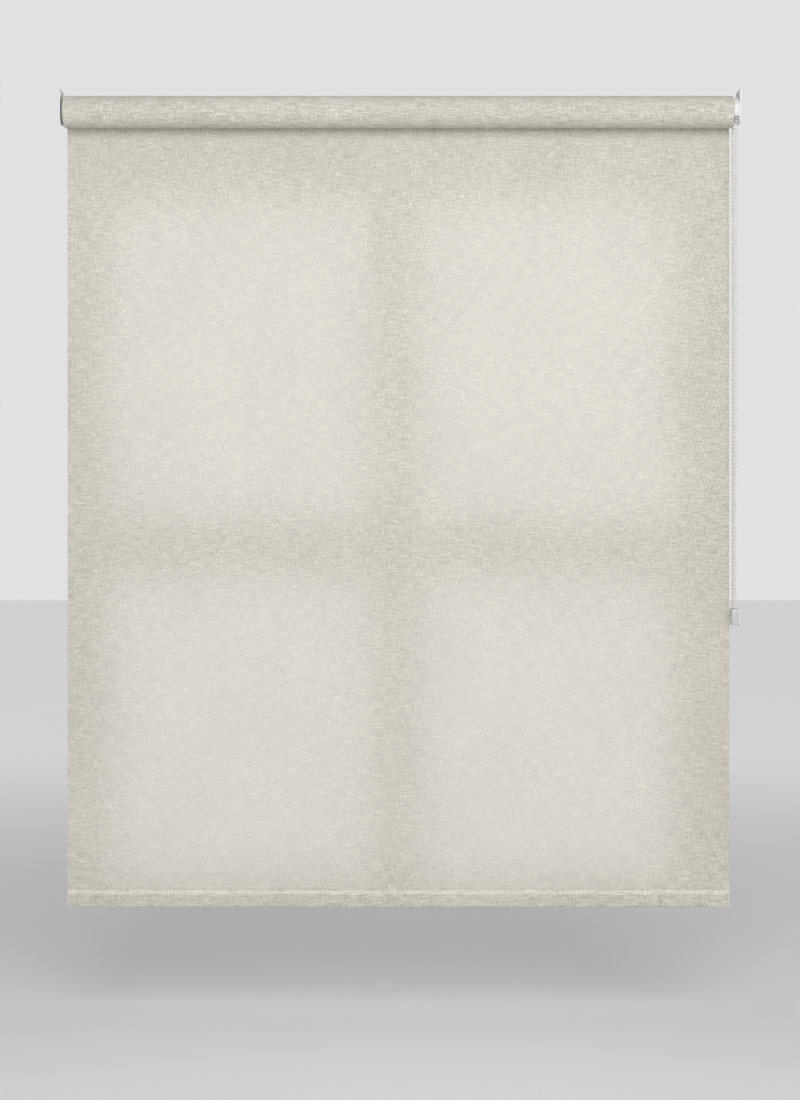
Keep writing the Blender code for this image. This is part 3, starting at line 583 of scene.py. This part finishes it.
def hem_sleeve(finish):
    """The hem's pocket: the cloth's foot turned up round the bar and welded to itself."""
    profile = hem_profile()
    strips = HEM_STRIPS
    build = bmesh.new()
    runs = build.loops.layers.uv.new("run")
    rows = []
    run = SHEET_FOOT
    for i, (y, z) in enumerate(profile):
        if i:
            run -= math.dist(profile[i], profile[i - 1])
        row = [build.verts.new((LEFT + WIDTH * k / strips, y, z)) for k in range(strips + 1)]
        rows.append((run, row))
    for (above, upper), (below, lower) in zip(rows, rows[1:]):
        for k in range(strips):
            face = build.faces.new((upper[k], lower[k], lower[k + 1], upper[k + 1]))
            for corner in face.loops:
                x = corner.vert.co.x - MIDDLE
                corner[runs].uv = (x, above if corner.vert in (upper[k], upper[k + 1]) else below)
    mesh = bpy.data.meshes.new("hem_sleeve")
    build.to_mesh(mesh)
    build.free()
    mesh.materials.append(finish.material)
    piece = bpy.data.objects.new("hem_sleeve", mesh)
    bpy.context.scene.collection.objects.link(piece)
    return fit(smooth(thicken(piece, CLOTH), 50), "hem", "cloth", "hem_pocket")


# ---------------------------------------------------------------- chain

def beaded(name, path, beads, finish):
    """Moulded beads on a thread. The thread runs half a pitch past the first bead and the last."""
    shape = Shape(name + "_beads", {
        "Bead radius": BEAD_RADIUS, "Thread radius": THREAD_RADIUS, "Half pitch": BEAD_PITCH / 2,
        "Beads": beads,
    }, finish)
    line = shape.node("GeometryNodeMeshToCurve", None, {0: shape.input("Path")})
    end = shape.node("GeometryNodeCurveLength", None, {0: line}) - shape.input("Half pitch")
    inner = shape.tree.nodes.new("GeometryNodeTrimCurve")
    inner.mode = "LENGTH"
    starts = [socket for socket in inner.inputs if socket.name == "Start" and socket.enabled]
    ends = [socket for socket in inner.inputs if socket.name == "End" and socket.enabled]
    shape.feed(inner.inputs[0], line)
    shape.feed(starts[-1], shape.input("Half pitch"))
    shape.feed(ends[-1], end)
    points, turn = shape.node(
        "GeometryNodeCurveToPoints", {"mode": "COUNT"},
        {"Curve": Flow(shape, inner.outputs[0]), "Count": shape.input("Beads")}, ("Points", "Rotation"),
    )
    bead = shape.node("GeometryNodeMeshUVSphere", None, {
        "Segments": 10, "Rings": 6, "Radius": shape.input("Bead radius"),
    })
    strung = shape.node("GeometryNodeInstanceOnPoints", None, {
        "Points": points, "Instance": bead, "Rotation": turn,
    })
    round_thread = shape.node("GeometryNodeCurvePrimitiveCircle", None, {
        "Resolution": 6, "Radius": shape.input("Thread radius"),
    })
    thread = shape.node("GeometryNodeCurveToMesh", None, {
        "Curve": line, "Profile Curve": round_thread, "Fill Caps": True,
    })
    both = shape.tree.nodes.new("GeometryNodeJoinGeometry")
    for part in (strung, thread):
        shape.tree.links.new(part.socket, both.inputs[0])
    shape.close(Flow(shape, both.outputs[0]))
    piece = shape.run(name, polyline(name, path))
    return smooth(piece, 60)


def wheel_bead(step):
    """Middle of a bead on the drive wheel, counted from the front over the top."""
    angle = -math.pi / 2 + math.tau * step / WHEEL_POCKETS
    return Vector((CHAIN_X, WHEEL_RADIUS * math.sin(angle), WHEEL_RADIUS * math.cos(angle)))


def free_route():
    """The chain's middle line off the wheel: down the front, round the pulley and up the back."""
    front, back = wheel_bead(0), wheel_bead(WHEEL_POCKETS // 2)
    route = [front]
    for i in range(25):
        angle = math.pi * i / 24
        y = PULLEY_Y - PULLEY_RADIUS * math.cos(angle)
        route.append(Vector((CHAIN_X, y, PULLEY_Z - PULLEY_RADIUS * math.sin(angle))))
    return route + [back]


def spaced(route, count):
    """Points at count equal steps along a route, both its ends among them."""
    lengths = [(b - a).length for a, b in zip(route, route[1:])]
    step = sum(lengths) / count
    points = []
    leg, walked = 0, 0.0
    for i in range(count + 1):
        while leg < len(lengths) - 1 and i * step > walked + lengths[leg]:
            walked += lengths[leg]
            leg += 1
        points.append(route[leg].lerp(route[leg + 1], (i * step - walked) / lengths[leg]))
    return points


def add_chain(finish):
    route = free_route()
    total = sum((b - a).length for a, b in zip(route, route[1:]))
    steps = round(total / BEAD_PITCH)
    line = spaced(route, steps)

    split_front = (line[1] + line[2]) / 2
    split_back = (line[-2] + line[-3]) / 2
    path = [split_front, *line[2:-2], split_back]
    loop = beaded("bead_chain_loop", path, len(line) - 4, finish)
    fit(loop, "root", "chain_plastic", "bead_chain")
    length = sum((b - a).length for a, b in zip(path, path[1:]))

    over = [wheel_bead(step) for step in range(WHEEL_POCKETS // 2 + 1)]
    beads = [line[1], *over, line[-2]]
    strand = beaded("chain_on_wheel", [split_front, *beads, split_back], len(beads), finish)
    fit(strand, "root", "chain_plastic", "chain_over_wheel")


# ---------------------------------------------------------------- fittings

def eased(node, width, finish, slot):
    """A packed fitting with its edges eased, as moulding or coating leaves them."""
    source = frame["nodes"][node]
    build = bmesh.new()
    build.from_mesh(source.data)
    bmesh.ops.remove_doubles(build, verts=build.verts, dist=0.000002)
    bmesh.ops.dissolve_limit(build, angle_limit=math.radians(0.5), verts=build.verts, edges=build.edges)
    places = [tuple(corner.co) for corner in build.verts]
    build.verts.index_update()
    faces = [[corner.index for corner in face.verts] for face in build.faces]
    build.free()
    mesh = bpy.data.meshes.new(node)
    mesh.from_pydata(places, [], faces)
    mesh.materials.append(finish.material)
    piece = bpy.data.objects.new(node + "_eased", mesh)
    bpy.context.scene.collection.objects.link(piece)
    mesh.shade_smooth()
    step = piece.modifiers.new("edges", "BEVEL")
    step.limit_method = "ANGLE"
    step.angle_limit = math.radians(32)
    step.width = width
    step.segments = 2
    step.use_clamp_overlap = True
    smooth(plain(piece), 40)
    return fit(piece, source["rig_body"], slot, node)


def idle_coil(finish):
    """The spring behind the idle pin, wound at its full length, though the real one gets shorter as the pin
    goes in.
    """
    low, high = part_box("idle_spring")
    length = high.x - low.x
    shape = Shape("idle_winding", {
        "Start": low.x + IDLE_WIRE_RADIUS, "Length": length - 2 * IDLE_WIRE_RADIUS,
        "Coil radius": high.z - IDLE_WIRE_RADIUS, "Wire radius": IDLE_WIRE_RADIUS,
        "Turns": IDLE_TURNS, "Steps of a turn": 28,
    }, finish)
    winding = shape.node("GeometryNodeCurveSpiral", None, {
        "Resolution": shape.input("Steps of a turn"), "Rotations": shape.input("Turns"),
        "Start Radius": shape.input("Coil radius"), "End Radius": shape.input("Coil radius"),
        "Height": shape.input("Length"),
    })
    laid = shape.node("GeometryNodeTransform", None, {
        "Geometry": winding, "Translation": shape.join(shape.input("Start"), 0, 0),
        "Rotation": (0, math.pi / 2, 0),
    })
    round_wire = shape.node("GeometryNodeCurvePrimitiveCircle", None, {
        "Resolution": 10, "Radius": shape.input("Wire radius"),
    })
    shape.close(shape.node("GeometryNodeCurveToMesh", None, {
        "Curve": laid, "Profile Curve": round_wire, "Fill Caps": True,
    }))
    piece = shape.run("idle_coil", bpy.data.meshes.new("idle_coil"))
    fit(smooth(piece, 60), "roller", "spring_steel", "idle_spring")
    keep = 1 - travel("idle_pin_slide") / length
    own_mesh(piece)


def coat(finish, *nodes):
    """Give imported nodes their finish."""
    for node in nodes:
        for place in frame["nodes"][node].material_slots:
            place.material = finish.material


def main():
    add_camera()

    beads = moulded_finish("chain_bead_plastic", (0.7, 0.7, 0.665), 0.3, grain=900)
    add_chain(beads)

    cloth = cloth_finish("linen_look_cloth")
    hem_cloth = cloth_finish("welded_hem_cloth", -SHEET_FOOT, 0.22)
    wound = wound_cloth(cloth_finish("wound_linen_look_cloth", backed=0.2))
    hanging = hanging_cloth(cloth)
    hem = hem_sleeve(hem_cloth)
    drop = -SHEET_FOOT
    keep = 1 - travel("hem_lift") / drop
    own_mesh(hanging)

    powder = powder_finish()
    white = moulded_finish("white_moulding", (0.73, 0.73, 0.7), 0.42)
    grey = moulded_finish("grey_moulding", (0.34, 0.35, 0.36), 0.48)
    clear = moulded_finish("milky_cover", (0.78, 0.79, 0.78), 0.22, {"Transmission Weight": 0.35, "IOR": 1.49})
    aluminium = metal_finish("mill_aluminium", (0.62, 0.63, 0.64), (0.78, 0.785, 0.79), (6, 1400, 1400), 0.34)
    steel = metal_finish("drawn_steel", (0.38, 0.38, 0.39), (0.52, 0.52, 0.53), (900, 900, 900), 0.3)

    for node in ("bracket_left", "bracket_right"):
        eased(node, 0.35 * MM, powder, "white_steel")
    for node in ("idle_bush", "chain_guard", "tensioner_base"):
        eased(node, 0.25 * MM, white, "white_plastic")
    eased("tensioner_cover", 0.4 * MM, clear, "clear_plastic")
    coat(white, "chain_wheel", "tensioner_wheel", "bar_end_left", "bar_end_right")
    coat(grey, "idle_plug", "control_core", "drive_plug", "spring_retainer")
    coat(aluminium, "roller_tube", "hem_bar")
    coat(steel, "idle_pin", "core_washer", "core_screw", "wrap_spring_outer", "wrap_spring_inner",
         "tensioner_pin")
    idle_coil(steel)

    add_studio()
    bpy.context.scene.view_settings.view_transform = "Standard"


main()
